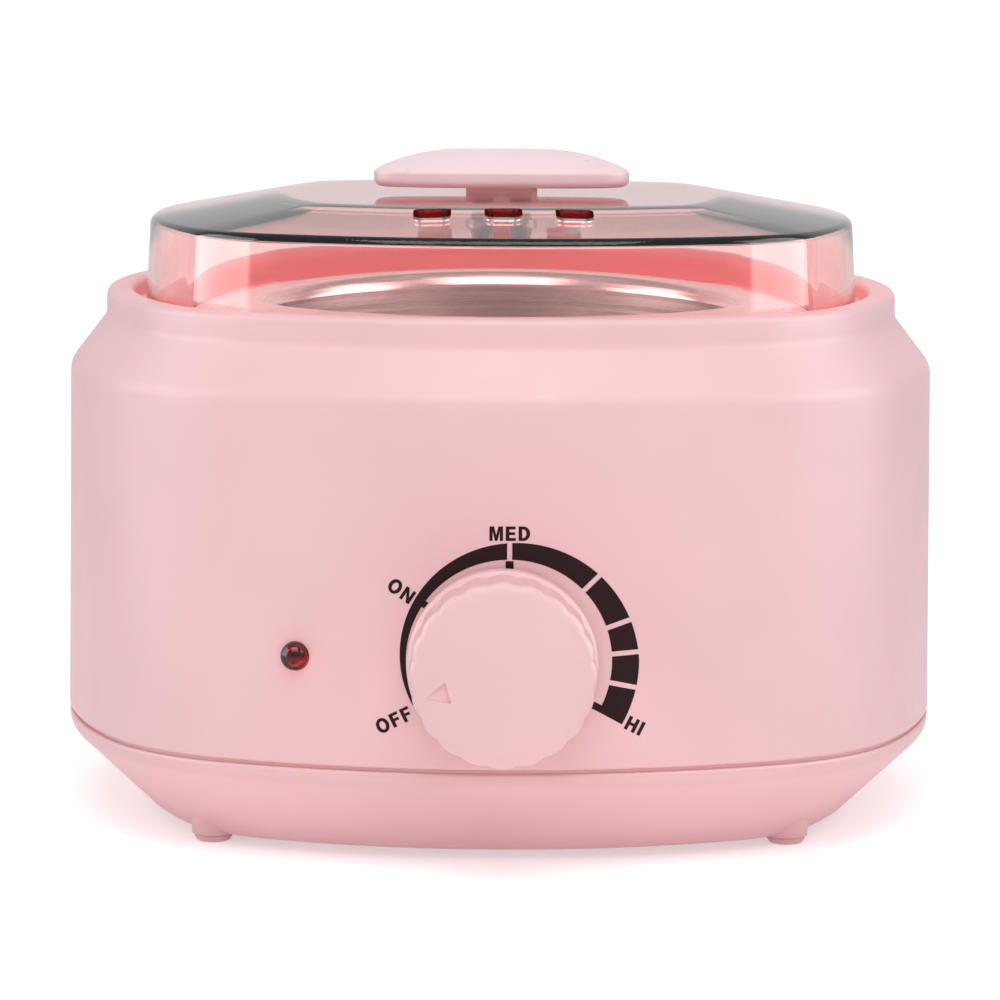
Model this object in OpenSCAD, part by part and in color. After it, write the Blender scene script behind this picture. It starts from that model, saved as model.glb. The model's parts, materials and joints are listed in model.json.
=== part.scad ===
// Wax warmer pot: a heated wax pot in a rounded square housing, under a lift-off clear lid.
// Millimetres. +Z is up, the control knob faces -Y, and the feet stand on z = 0.

/* [Body] */
// Half of the body's width and depth at its shoulder
body_half = 95; // [92:1:98]
// Radius of the gently bowed sides, seen from above
side_r = 137; // [132:1:145]
// Radius of the rounded corners, seen from above
corner_r = 52; // [50:1:54]
// Wall thickness of the moulded shells
wall = 2.5; // [2.2:0.1:2.8]
// Height of the seam between the base and the housing
seam_z = 21.5; // [20:0.5:23]
// Height where the upright wall turns into the sloping shoulder
shoulder_z = 97.7; // [96:0.1:99]
// Height where the shoulder meets the collar
collar_z = 108; // [107:0.1:109]
// Height of the collar's rim
rim_z = 114; // [113:0.1:116]
// Height of the deck that the pot and the lid rest on
deck_z = 110; // [109:0.1:111]

/* [Controls] */
// Height of the control knob's axis
knob_z = 44.5; // [43:0.5:47]
// Radius of the knob's skirt
knob_r = 19.6; // [18:0.1:20]
// How far the knob stands out of the front wall
knob_out = 20.5; // [18:0.5:23]
// Number of shallow lobes round the knob
knob_lobes = 20; // [12:1:28]
// Direction of the knob's pointer at OFF, anticlockwise from the right
off_angle = 196; // [190:1:206]
// Distance of the indicator lamp from the knob's axis
lamp_x = -42.5; // [-46:0.5:-38]

/* [Pot and well] */
// Outer radius of the pot's wall
pot_r = 52.4; // [50:0.1:53]
// Outer radius of the pot's wide flange
pot_flange_r = 66; // [64:0.5:67]
// Depth of the pot below the deck
pot_depth = 62.5; // [60:0.5:64]
// Wall thickness of the spun pot
pot_wall = 1.1; // [0.8:0.1:1.4]
// Inner radius of the heated well
well_r = 54.2; // [53.5:0.1:54.6]

/* [Lid] */
// Half width of the lid at its lower edge
lid_half = 78.5; // [77:0.1:79]
// Height of the lid's rounded shoulder
lid_shoulder_z = 129.6; // [128:0.1:131]
// Half width of the lid's flat top
lid_flat_half = 50; // [47:0.5:53]
// Height of the lid's flat top
lid_top_z = 134.5; // [133:0.1:136]
// Thickness of the lid
lid_wall = 2.2; // [1.8:0.1:2.6]
// Length of the handle on the lid
handle_len = 56.5; // [50:0.5:60]
// Width of the handle on the lid
handle_w = 22; // [18:0.5:26]

/* [Hidden] */
$fn = 96;

pink = [0.96, 0.78, 0.8];
steel = [0.7, 0.7, 0.72];
alu = [0.82, 0.8, 0.8];

// Plan of the body: four bowed sides and four tangent corners
side_off = side_r - body_half;
tangent_angle = acos(side_off / ((side_r - corner_r) * sqrt(2))) - 45;
corner_c = (side_r - corner_r) * sin(tangent_angle);

// Housing
seam_gap = 0.4;
seam_flare = 0.6;
collar_in = 7.9;
rim_in = 14;
deck_t = 3;
deck_hole_r = 57;
shoulder_angle = atan2(collar_in, collar_z - shoulder_z);
inner_shoulder_z = shoulder_z - wall * tan(shoulder_angle / 2);
deck_under = deck_z - deck_t;
front_y = -body_half - 0.45;
seat_r = 66.5;
seat_z = 101.5;
column_c = 51;
column_r = 4.5;
column_foot_z = 12;
column_pilot = 14;
screw_r = 2;
pilot_r = 2.05;
knob_pad_r = 14;
lamp_pad_r = 6.5;
gland_pad_r = 8.4;
pad_t = 4;

// Base
base_z = 1.8;
base_in = 17;
lip_z = 18.2;
foot_x = 61;
foot_y = 58;
foot_r = 4.6;
foot_pad_drop = 0.2;
foot_stem_r = 2;
post_r = 5.8;
head_r = 3.6;
head_seat_z = 7.5;
slot_pitch = 12;
slot_w = 3;
slot_l = 26;
slot_y = -22;

// Thermostat and its knob
pad_y = front_y + pad_t;
bushing_r = 5;
shaft_r = 3;
shaft_play = 0.05;
knob_gap = 1.2;
knob_face_y = front_y - knob_out;
knob_back_y = front_y - knob_gap;
skirt_t = 4;
flat_d = 2;
flat_l = 12;
hub_r = 6.6;

// Indicator lamp
lens_r = 3.05;
lamp_angle = asin(lamp_x / side_r);
lamp_pad_y = -side_r + pad_t;
lens_y = -side_r - 0.5;
lens_flange_r = 4.4;
lens_hollow_r = 2;
bulb_r = 1.7;
pin_x = 1.3;

// Cord gland at the back
gland_z = 33;
gland_out = 2.95;
cord_r = 3.4;
gland_r = 5.4;
// The middle of the whole object, knob and gland included, is put over the origin
centre_y = (knob_out - front_y - body_half - gland_out) / 2;

// Terminal block on the base's floor
block_y = 52;
block_screw_x = 18.4;
block_hole_z = base_z + wall + 6;

// Well, pot and heater
well_wall = 1.5;
well_floor_z = 44;
flange_t = 1.5;
flange_top_z = seat_z - 0.8;
well_screw_ring = 61.5;
well_screw_hole_r = 1.7;
band_low_z = 52;
band_h = 32;
band_t = 3.2;
band_mid_z = band_low_z + band_h / 2;
clamp_y = 64;
band_r = well_r + well_wall + 0.1;

// Lid
lid_in = body_half - lid_half;
lid_flat_in = body_half - lid_flat_half;
handle_z = lid_top_z + 2.3;
handle_h = 7.4;
stem_l = 15.8;
stem_w = 10;
handle_screw_x = 4.2;
vent_x = 3.9;
vent_y = 3.2;
vent_r = 1.6;
vent_pitch = 15;
vent_row_y = -lid_flat_half - 3.5;

arc_steps = 4;
side_steps = 10;
corner_steps = 7;
wire_steps = 4;
wire_sides = 8;

function unit(v) = v / norm(v);

// Points of an arc of radius r that rounds the corner b between a and c
function corner_arc(a, b, c, r) =
    r <= 0 ? [b] :
    let (
        u = unit(a - b),
        v = unit(c - b),
        half = acos(u * v) / 2,
        centre = b + unit(u + v) * r / sin(half),
        from = b + u * r / tan(half) - centre,
        to = b + v * r / tan(half) - centre,
        start = atan2(from.y, from.x),
        sweep = ((atan2(to.y, to.x) - start + 540) % 360) - 180
    )
    [for (i = [0:arc_steps]) let (t = start + sweep * i / arc_steps) centre + r * [cos(t), sin(t)]];

function xy(p) = [p.x, p.y];

// Outline through the points [x, y, radius], each corner rounded by its radius
function rounded(pts) =
    let (n = len(pts))
    [
        for (i = [0:n - 1])
            each corner_arc(xy(pts[(i + n - 1) % n]), xy(pts[i]), xy(pts[(i + 1) % n]), pts[i].z)
    ];

// Points of an arc from t0 to t1 about a centre, without its last point
function arc(centre, r, t0, t1, steps) =
    [for (i = [0:steps - 1]) let (t = t0 + (t1 - t0) * i / steps) centre + r * [cos(t), sin(t)]];

// Outline of the plan, grown by offset p: a bowed side and a corner, four times
function outline(p) =
    let (
        side = arc([0, side_off], side_r + p, -90 - tangent_angle, -90 + tangent_angle, side_steps),
        corner = arc([corner_c, -corner_c], corner_r + p, -90 + tangent_angle, -tangent_angle, corner_steps)
    )
    [
        for (turn = [0:90:270], q = concat(side, corner))
            [q.x * cos(turn) - q.y * sin(turn), q.x * sin(turn) + q.y * cos(turn)]
    ];

// Sweeps a closed profile of [offset from the outline, height] points round the plan
module sweep_plan(profile) {
    n = len(profile);
    rings = [for (q = profile) [for (v = outline(q.x)) [v.x, v.y, q.y]]];
    m = len(rings[0]);
    polyhedron(
        points = [for (ring = rings) each ring],
        faces = [
            for (i = [0:n - 1], k = [0:m - 1])
                let (
                    a = i * m + k,
                    b = i * m + (k + 1) % m,
                    c = ((i + 1) % n) * m + k,
                    d = ((i + 1) % n) * m + (k + 1) % m
                )
                each [[a, c, b], [b, c, d]]
        ]
    );
}

module plate(p, low, high) {
    translate([0, 0, low]) linear_extrude(high - low) polygon(outline(p));
}

// Copies its child to the four corners at (x, y)
module at_corners(x, y) {
    for (sx = [-1, 1], sy = [-1, 1]) translate([sx * x, sy * y, 0]) children();
}

// Copies its child to the four screws round the well, at height z
module at_well_screws(z) {
    for (turn = [45:90:315]) rotate(turn) translate([well_screw_ring, 0, z]) children();
}

// A cylinder along Y from y0 to y1
module y_rod(r, y0, y1) {
    translate([0, y0, 0]) rotate([-90, 0, 0]) cylinder(r = r, h = y1 - y0);
}

// Puts its child, drawn about the Y axis, square to the bowed front wall at the lamp
module at_lamp() {
    translate([0, side_off, knob_z]) rotate(lamp_angle) children();
}

// Points of the quarter circle that closes a rod of radius r at height h
function quarter_arc(r, h) = [for (t = [0:15:90]) [r * cos(t), h + r * sin(t)]];

// The place of a point (x, y) of the lamp's own frame
function lamp_point(x, y, z) = [
    x * cos(lamp_angle) - y * sin(lamp_angle),
    side_off + x * sin(lamp_angle) + y * cos(lamp_angle),
    z
];

module x_rod(r, x0, x1) {
    translate([x0, 0, 0]) rotate([0, 90, 0]) cylinder(r = r, h = x1 - x0);
}

module tube(r_out, r_in, low, high) {
    translate([0, 0, low]) difference() {
        cylinder(r = r_out, h = high - low);
        translate([0, 0, -1]) cylinder(r = r_in, h = high - low + 2);
    }
}

// The route's points joined by a smooth curve through all of them
function smooth(p) =
    let (n = len(p) - 1)
    [
        for (i = [0:n - 1], t = [0:1 / wire_steps:1 - 0.5 / wire_steps])
            let (before = p[max(i - 1, 0)], a = p[i], b = p[i + 1], after = p[min(i + 2, n)])
            0.5 * (2 * a + (b - before) * t + (2 * before - 5 * a + 4 * b - after) * t * t
                + (3 * a - before - 3 * b + after) * t * t * t),
        p[n]
    ];

// Normals carried along the tangents without twist
function carried(tangents, normal, i = 0) =
    i == len(tangents) ? [] :
    let (turned = unit(normal - (normal * tangents[i]) * tangents[i]))
    concat([turned], carried(tangents, turned, i + 1));

// A wire or a thin pipe of radius r along the route
module wire(route, r) {
    path = smooth(route);
    last = len(path) - 1;
    tangents = [for (i = [0:last]) unit(path[min(i + 1, last)] - path[max(i - 1, 0)])];
    normals = carried(tangents, unit(cross(tangents[0], [0.3, 0.5, 0.8])));
    turn = 360 / wire_sides;
    polyhedron(
        points = [
            for (i = [0:last], k = [0:wire_sides - 1])
                path[i] + r * (cos(k * turn) * normals[i] + sin(k * turn) * cross(tangents[i], normals[i]))
        ],
        faces = [
            [for (k = [0:wire_sides - 1]) k],
            [for (k = [wire_sides - 1:-1:0]) last * wire_sides + k],
            for (i = [0:last - 1], k = [0:wire_sides - 1])
                let (a = i * wire_sides + k, b = i * wire_sides + (k + 1) % wire_sides)
                each [[a, a + wire_sides, b], [b, a + wire_sides, b + wire_sides]]
        ]
    );
}

// ---- Housing and base ----

module housing_shell() {
    color(pink) difference() {
        union() {
            sweep_plan(rounded([
                [seam_flare, seam_z + seam_gap, 0.6],
                [0, shoulder_z, 5],
                [-collar_in, collar_z, 3],
                [-collar_in - 0.1, rim_z, 1.6],
                [-rim_in, rim_z, 1.4],
                [-rim_in, deck_z, 0],
                [-rim_in - 2, deck_z, 0],
                [-rim_in - 2, deck_under, 0],
                [-wall - (deck_under - inner_shoulder_z) * tan(shoulder_angle), deck_under, 0],
                [-wall, inner_shoulder_z, 3],
                [seam_flare - wall, seam_z + seam_gap, 0]
            ]));
            difference() {
                plate(-rim_in - 1, deck_under, deck_z);
                translate([0, 0, deck_under - 1]) cylinder(r = deck_hole_r + 1, h = deck_t + 2);
            }
            tube(seat_r, deck_hole_r, seat_z, deck_z);
            at_corners(column_c, column_c) translate([0, 0, column_foot_z])
                cylinder(r = column_r, h = deck_under + 1 - column_foot_z);
            translate([0, 0, knob_z]) y_rod(knob_pad_r, pad_y - 3, pad_y);
            at_lamp() y_rod(lamp_pad_r, lamp_pad_y - 3.4, lamp_pad_y);
            translate([0, 0, gland_z]) y_rod(gland_pad_r, body_half - 3, body_half + 0.9);
        }
        at_corners(column_c, column_c) translate([0, 0, column_foot_z - 1])
            cylinder(r = pilot_r, h = column_pilot + 1);
        at_well_screws(seat_z - 1) cylinder(r = 1.55, h = 7);
        translate([0, 0, knob_z]) y_rod(bushing_r + 0.1, front_y - 2, pad_y + 1);
        at_lamp() y_rod(lens_r + 0.05, lens_y - 2, lamp_pad_y + 1);
        translate([0, 0, gland_z]) y_rod(gland_r + 0.02, body_half - 8, body_half + 3);
    }
}

module base_shell() {
    color(pink) difference() {
        union() {
            sweep_plan(rounded([
                [-wall + 0.4, seam_z - seam_gap, 0],
                [-wall + 0.4, seam_z + 3, 0],
                [-4, seam_z + 3, 0],
                [-4, lip_z - 0.7, 0],
                [-base_in - 1, base_z + wall, 1],
                [-base_in - 4, base_z + wall, 0],
                [-base_in - 4, base_z, 0],
                [-base_in, base_z, 4],
                [seam_flare - 0.3, lip_z, 3.5],
                [seam_flare, seam_z - seam_gap, 0.6]
            ]));
            plate(-base_in - 3, base_z, base_z + wall);
            at_corners(column_c, column_c) translate([0, 0, base_z])
                cylinder(r = post_r, h = column_foot_z - base_z);
            at_corners(foot_x, foot_y) translate([0, 0, base_z - foot_pad_drop]) cylinder(r = foot_r, h = 7);
        }
        at_corners(column_c, column_c) {
            translate([0, 0, base_z - 1]) cylinder(r = head_r + 0.4, h = head_seat_z - base_z + 1);
            translate([0, 0, base_z]) cylinder(r = screw_r + 0.3, h = column_foot_z);
        }
        at_corners(foot_x, foot_y) cylinder(r = foot_stem_r, h = 6);
        for (x = [-block_screw_x, block_screw_x])
            translate([x, block_y, base_z + 0.8]) cylinder(r = 1.3, h = 4);
        for (i = [-3:3]) translate([i * slot_pitch - slot_w / 2, slot_y, base_z - 1])
            cube([slot_w, slot_l, wall + 2]);
    }
}

module rubber_feet() {
    color(pink) at_corners(foot_x, foot_y) {
        rotate_extrude() polygon(rounded([
            [0, 0, 0],
            [3.2, 0, 0.8],
            [foot_r - 0.1, base_z - foot_pad_drop, 1],
            [0, base_z - foot_pad_drop, 0]
        ]));
        cylinder(r = foot_stem_r - 0.02, h = 5.8);
    }
}

// A cross-recessed screw that points up, with its head's seat at z = 0
module screw(r, length, head) {
    difference() {
        union() {
            cylinder(r = r, h = length);
            translate([0, 0, -0.6 * head]) cylinder(r1 = 0.75 * head, r2 = head, h = 0.6 * head);
        }
        for (turn = [0, 90]) rotate(turn)
            translate([-0.5 * head, -0.12 * head, -0.7 * head]) cube([head, 0.24 * head, 0.45 * head]);
    }
}

module base_screws() {
    color(steel) at_corners(column_c, column_c) translate([0, 0, head_seat_z]) screw(screw_r, 15, head_r);
}

module cord_gland() {
    color([0.15, 0.15, 0.16]) translate([0, 0, gland_z]) difference() {
        union() {
            y_rod(gland_r, body_half - 4.8, body_half + 2);
            y_rod(7.6, body_half + 0.9, body_half + gland_out);
            y_rod(7.2, body_half - 4.8, body_half - 3);
        }
        y_rod(cord_r, body_half - 8, body_half + 5);
    }
}

// ---- Well and heater ----

module heating_well() {
    color(alu) difference() {
        rotate_extrude() polygon(rounded([
            [0, well_floor_z, 0],
            [well_r + well_wall, well_floor_z, 6],
            [well_r + well_wall, flange_top_z - flange_t, 1],
            [seat_r - 0.5, flange_top_z - flange_t, 0],
            [seat_r - 0.5, flange_top_z, 0],
            [well_r, flange_top_z, 1.5],
            [well_r, well_floor_z + well_wall, 4.5],
            [0, well_floor_z + well_wall, 0]
        ]));
        at_well_screws(flange_top_z - 3) cylinder(r = well_screw_hole_r, h = 5);
    }
}

module well_gasket() {
    color([0.85, 0.84, 0.8]) difference() {
        tube(seat_r - 0.5, deck_hole_r + 0.2, flange_top_z, seat_z);
        at_well_screws(flange_top_z - 1) cylinder(r = well_screw_hole_r, h = 3);
    }
}

module well_screws() {
    color(steel) at_well_screws(flange_top_z - flange_t) screw(1.5, 7, 2.8);
}

module heater_band() {
    color([0.62, 0.6, 0.58]) difference() {
        union() {
            tube(band_r + band_t, band_r, band_low_z, band_low_z + band_h);
            for (sx = [-1, 1]) translate([sx * 4 - 1, 57, band_mid_z - 6]) cube([2, 10.5, 12]);
        }
        translate([-3, 50, band_low_z - 1]) cube([6, 20, band_h + 2]);
        translate([0, clamp_y, band_mid_z]) x_rod(1.6, -8, 8);
    }
}

module band_clamp_screw() {
    color(steel) translate([0, clamp_y, band_mid_z]) {
        x_rod(1.5, -9, 5);
        x_rod(2.8, 5, 7);
        translate([-7.4, 0, 0]) rotate([0, 90, 0]) cylinder(r = 2.9, h = 2.4, $fn = 6);
    }
}

module heater_terminals() {
    color("gold") for (sx = [-1, 1]) translate([sx * 14, 0, band_low_z - 7.5]) {
        translate([-3, 55.6, 0]) cube([6, 0.8, 7.5]);
        translate([-3, 55.6, 0]) cube([6, 5.5, 0.8]);
    }
}

module insulation_sleeve() {
    color([0.9, 0.88, 0.82]) difference() {
        tube(band_r + band_t + 3.1, band_r + band_t + 0.1, 47, 95);
        translate([-14, 50, 46]) cube([28, 20, 50]);
    }
}

module thermal_fuse() {
    color("silver") translate([0, 20, well_floor_z - 2.1]) {
        x_rod(2, -6, 6);
        for (sx = [-1, 1]) x_rod(0.5, min(6 * sx, 16 * sx), max(6 * sx, 16 * sx));
    }
}

module fuse_clip() {
    color(steel) translate([0, 20, well_floor_z]) difference() {
        union() {
            translate([-3, -2.8, -4.9]) cube([6, 5.6, 4.9]);
            translate([-3, 2.8, -0.8]) cube([6, 5, 0.8]);
            translate([-3, -7.8, -0.8]) cube([6, 5, 0.8]);
        }
        translate([0, 0, -2.1]) x_rod(2.02, -4, 4);
        translate([-4, -2.02, -2.1]) cube([8, 4.04, 3]);
    }
}

// ---- Thermostat ----

module thermostat_case() {
    color(steel) translate([0, 0, knob_z]) difference() {
        union() {
            y_rod(bushing_r, front_y - 3.2, pad_y + 1);
            translate([-13, pad_y, -13]) cube([26, 1.6, 26]);
            y_rod(11, pad_y, pad_y + 6);
        }
        y_rod(shaft_r + shaft_play, front_y - 5, pad_y + 8);
    }
}

module thermostat_cover() {
    color([0.93, 0.9, 0.84]) translate([0, 0, knob_z]) difference() {
        union() {
            translate([-12, pad_y + 1.6, -12]) cube([24, 15, 24]);
            translate([-8, pad_y + 16.6, -9]) cube([16, 2, 18]);
        }
        y_rod(11.1, pad_y, pad_y + 11);
    }
}

module thermostat_terminals() {
    color("gold") for (sz = [-6, 6])
        translate([-3.2, pad_y + 18.6, knob_z + sz - 0.4]) cube([6.4, 6.5, 0.8]);
}

module thermostat_nut() {
    color("silver") translate([0, 0, knob_z]) difference() {
        union() {
            rotate([90, 0, 0]) translate([0, 0, -front_y + 0.4]) cylinder(r = 8, h = 2.3, $fn = 6);
            y_rod(8.4, front_y - 0.4, front_y);
        }
        y_rod(bushing_r + 0.02, front_y - 4, front_y + 2);
    }
}

module thermostat_shaft() {
    color("silver") translate([0, 0, knob_z]) difference() {
        union() {
            y_rod(shaft_r, knob_face_y + 5, pad_y + 6.3);
            y_rod(7, pad_y + 6.3, pad_y + 9);
        }
        rotate([0, 270 - off_angle, 0]) translate([-5, knob_face_y, flat_d]) cube([10, flat_l, 5]);
    }
}

module sensor_bulb() {
    color([0.72, 0.45, 0.3]) translate([0, -22, well_floor_z - 3]) x_rod(3, -27, 27);
}

module bulb_clips() {
    color(steel) for (x = [-16, 16]) translate([x, -22, well_floor_z]) difference() {
        union() {
            translate([-3, -3.8, -6.8]) cube([6, 7.6, 6.8]);
            translate([-3, 3.8, -0.8]) cube([6, 5, 0.8]);
            translate([-3, -8.8, -0.8]) cube([6, 5, 0.8]);
        }
        translate([0, 0, -3]) x_rod(3.02, -4, 4);
        translate([-4, -3.02, -3]) cube([8, 6.04, 4]);
    }
}

module sensor_capillary() {
    color([0.72, 0.45, 0.3]) wire([
        [27, -22, well_floor_z - 3], [36, -22, 39], [42, -34, 34],
        [40, -58, 30], [26, -76, 34], [12.8, -82, 38]
    ], 0.9);
}

// ---- Indicator ----

module indicator_lens() {
    color([0.6, 0.02, 0.04]) at_lamp() rotate([90, 0, 0]) rotate_extrude() polygon(concat(
        [[lens_hollow_r, -lamp_pad_y - 1.2], [lens_flange_r, -lamp_pad_y - 1.2]],
        [[lens_flange_r, -lamp_pad_y], [lens_r - 0.02, -lamp_pad_y]],
        quarter_arc(lens_r - 0.02, -lens_y),
        [[0, -lens_y + 1], [lens_hollow_r, -lens_y - 0.6]]
    ));
}

module indicator_holder() {
    color([0.2, 0.2, 0.2]) at_lamp() difference() {
        y_rod(5.2, lamp_pad_y + 1.2, lamp_pad_y + 15);
        y_rod(3.4, lamp_pad_y + 1, lamp_pad_y + 12.6);
        for (x = [-pin_x, pin_x]) translate([x, 0, 0]) y_rod(0.5, lamp_pad_y + 12, lamp_pad_y + 16);
    }
}

module indicator_lamp() {
    color([0.95, 0.5, 0.3]) at_lamp() {
        rotate([90, 0, 0]) rotate_extrude() polygon(concat(
            [[0, -lamp_pad_y - 10], [bulb_r, -lamp_pad_y - 10]],
            quarter_arc(bulb_r, -lens_y - 2.6)
        ));
        for (x = [-pin_x, pin_x]) translate([x, 0, 0]) y_rod(0.4, lamp_pad_y + 9.5, lamp_pad_y + 18);
    }
}

// ---- Wiring ----

module terminal_block() {
    color([0.9, 0.9, 0.88]) translate([0, block_y, base_z + wall]) difference() {
        union() {
            translate([-20, -9, 0]) cube([40, 18, 3]);
            for (x = [-12, 0, 12]) translate([x - 5, -9, 0]) cube([10, 18, 14]);
        }
        for (x = [-12, 0, 12]) {
            translate([x, 0, 6]) y_rod(2, -10, 10);
            for (y = [-5, 5]) translate([x, y, 6]) cylinder(r = 2.1, h = 9);
        }
        for (x = [-block_screw_x, block_screw_x]) translate([x, 0, -1]) cylinder(r = 1.3, h = 6);
    }
}

module terminal_screws() {
    color("gold") translate([0, block_y, base_z + wall]) for (x = [-12, 0, 12], y = [-5, 5])
        translate([x, y, 7.9]) difference() {
            cylinder(r = 2.08, h = 4);
            translate([-3, -0.4, 3]) cube([6, 0.8, 2]);
        }
}

module block_screws() {
    color(steel) translate([0, block_y, base_z + wall]) for (x = [-block_screw_x, block_screw_x])
        translate([x, 0, 3]) mirror([0, 0, 1]) screw(1.25, 4.4, 1.5);
}

module heater_leads() {
    color([0.9, 0.9, 0.92]) for (side = [-1, 1]) wire([
        [side * 12, 44.5, block_hole_z], [side * 14, 36, 14], [side * 24, 42, 22],
        [side * 23, 57, 32], [side * 15, 59.4, 43]
    ], 1.1);
}

module thermostat_leads() {
    color([0.25, 0.25, 0.28]) wire([
        [0, 44.5, block_hole_z], [0, 30, 11], [-6, 0, 8], [-5, -36, 14], [-3, -55, 32], [-2, -65.6, 38.4]
    ], 1.1);
}

module lamp_leads() {
    color([0.75, 0.1, 0.1]) {
        wire([
            lamp_point(-pin_x, lamp_pad_y + 18.4, knob_z), [-42, -53, 34], [-43, -28, 16], [-40, 30, 12],
            [-26, 62, 12], [-13, 68, block_hole_z], [-12, 59, block_hole_z]
        ], 0.8);
        wire([
            lamp_point(pin_x, lamp_pad_y + 18.4, knob_z), [-35, -52, 34], [-37, -28, 18], [-34, 20, 16],
            [-26, 36, 20]
        ], 0.8);
    }
}

// ---- Knob ----

module control_knob() {
    color(pink) translate([0, 0, knob_z]) difference() {
        union() {
            rotate([90, 0, 0]) rotate_extrude() polygon(rounded([
                [0, -knob_back_y, 0],
                [knob_r, -knob_back_y, 0.5],
                [knob_r, -knob_back_y + skirt_t, 0.8],
                [knob_r - 1.3, -knob_back_y + skirt_t + 0.6, 0],
                [knob_r - 1.6, -knob_face_y - 1.2, 2],
                [0, -knob_face_y, 0]
            ]));
            for (i = [0:knob_lobes - 1]) rotate([0, i * 360 / knob_lobes, 0])
                translate([knob_r - 4, 0, 0]) y_rod(3.4, knob_face_y + 2.6, knob_back_y - skirt_t / 2);
        }
        // Hollow underside round the hub
        difference() {
            y_rod(knob_r - 3.2, knob_face_y + 3.6, knob_back_y + 1);
            y_rod(hub_r, knob_face_y + 2, knob_back_y - 3.6);
            for (turn = [0:60:300]) rotate([0, turn, 0])
                translate([0, knob_face_y + 2, -0.7]) cube([knob_r, -knob_face_y + knob_back_y - 6, 1.4]);
        }
        // Bore for the shaft, with its flat
        difference() {
            y_rod(shaft_r + 0.02, knob_face_y + 4.8, knob_back_y + 1);
            rotate([0, 270 - off_angle, 0]) translate([-5, knob_face_y, flat_d + 0.02])
                cube([10, flat_l - 1, 5]);
        }
        // Slot for the spring clip
        rotate([0, 90 - off_angle, 0]) translate([-1.6, knob_face_y + 6, shaft_r - 0.5]) cube([3.2, 8, 1.2]);
        // Pointer
        rotate([0, -off_angle, 0]) translate([knob_r - 5.6, knob_face_y - 1, 0]) rotate([-90, 0, 0])
            linear_extrude(2) polygon([[2.4, 0], [-2.2, 2.4], [-2.2, -2.4]]);
    }
}

module knob_spring() {
    color(steel) translate([0, 0, knob_z]) rotate([0, 90 - off_angle, 0])
        translate([-1.5, knob_face_y + 6.1, shaft_r + 0.05]) cube([3, 7.6, 0.5]);
}

// ---- Pot and lid ----

module wax_pot() {
    color(alu) rotate_extrude() polygon(rounded([
        [0, deck_z - pot_depth, 0],
        [pot_r, deck_z - pot_depth, 8],
        [pot_r, deck_z + 0.4, 1.2],
        [pot_flange_r - 3, deck_z + 0.4, 0],
        [pot_flange_r - 1.6, deck_z, 0.3],
        [pot_flange_r, deck_z, 0.6],
        [pot_flange_r, deck_z + 1.5, 0.6],
        [pot_flange_r - 1.6, deck_z + 1.7, 0.8],
        [pot_r, deck_z + 2.4, 2.2],
        [pot_r - pot_wall, deck_z + 0.4, 1.5],
        [pot_r - pot_wall, deck_z - pot_depth + pot_wall, 7],
        [0, deck_z - pot_depth + pot_wall, 0]
    ]));
}

module lid_shell() {
    color([0.8, 0.55, 0.55, 0.6]) difference() {
        union() {
            sweep_plan(rounded([
                [-lid_in, deck_z, 0],
                [-lid_in - 1.1, lid_shoulder_z, 2.6],
                [-lid_flat_in, lid_top_z, 4],
                [-lid_flat_in - 3, lid_top_z, 0],
                [-lid_flat_in - 3, lid_top_z - lid_wall, 0],
                [-lid_flat_in, lid_top_z - lid_wall, 2],
                [-lid_in - 1.1 - lid_wall, lid_shoulder_z - lid_wall + 0.2, 1],
                [-lid_in - lid_wall, deck_z, 0]
            ]));
            plate(-lid_flat_in - 2, lid_top_z - lid_wall, lid_top_z);
        }
        for (turn = [0, 180], i = [-1:1]) rotate(turn)
            translate([i * vent_pitch, vent_row_y, lid_top_z - 5]) linear_extrude(8) polygon(rounded([
                [-vent_x, -vent_y, vent_r], [vent_x, -vent_y, vent_r],
                [vent_x, vent_y, vent_r], [-vent_x, vent_y, vent_r]
            ]));
        for (x = [-handle_screw_x, handle_screw_x]) translate([x, 0, lid_top_z - 5]) cylinder(r = 1.6, h = 8);
    }
}

module lid_handle() {
    color([0.98, 0.88, 0.89]) difference() {
        union() {
            intersection() {
                translate([0, 0, handle_z]) linear_extrude(handle_h + 1) polygon(rounded([
                    [-handle_len / 2, -handle_w / 2, 9], [handle_len / 2, -handle_w / 2, 9],
                    [handle_len / 2, handle_w / 2, 9], [-handle_len / 2, handle_w / 2, 9]
                ]));
                translate([0, handle_w, handle_z]) rotate([90, 0, 0]) linear_extrude(2 * handle_w)
                    polygon(rounded([
                        [-handle_len / 2, 0, 1.2], [handle_len / 2, 0, 1.2],
                        [handle_len / 2, 3.4, 1], [handle_len / 4, 6.8, 16], [0, handle_h, 60],
                        [-handle_len / 4, 6.8, 16], [-handle_len / 2, 3.4, 1]
                    ]));
                translate([-handle_len, 0, handle_z]) rotate([90, 0, 90]) linear_extrude(2 * handle_len)
                    polygon(rounded([
                        [-handle_w / 2, 0, 1.2], [handle_w / 2, 0, 1.2],
                        [handle_w / 2, 4, 1.5], [0, handle_h + 0.4, 14], [-handle_w / 2, 4, 1.5]
                    ]));
            }
            translate([-stem_l / 2, -stem_w / 2, lid_top_z]) cube([stem_l, stem_w, handle_z - lid_top_z + 1]);
        }
        for (x = [-handle_screw_x, handle_screw_x])
            translate([x, 0, lid_top_z - 1]) cylinder(r = 1.55, h = 6.5);
    }
}

module handle_screws() {
    color(steel) for (x = [-handle_screw_x, handle_screw_x])
        translate([x, 0, lid_top_z - lid_wall - 0.6]) screw(1.5, 7.4, 2.8);
}

module handle_washers() {
    color(steel) for (x = [-handle_screw_x, handle_screw_x]) translate([x, 0, 0])
        tube(3.6, 1.6, lid_top_z - lid_wall - 0.6, lid_top_z - lid_wall);
}

module placed() {
    translate([0, centre_y, 0]) children();
}

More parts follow.
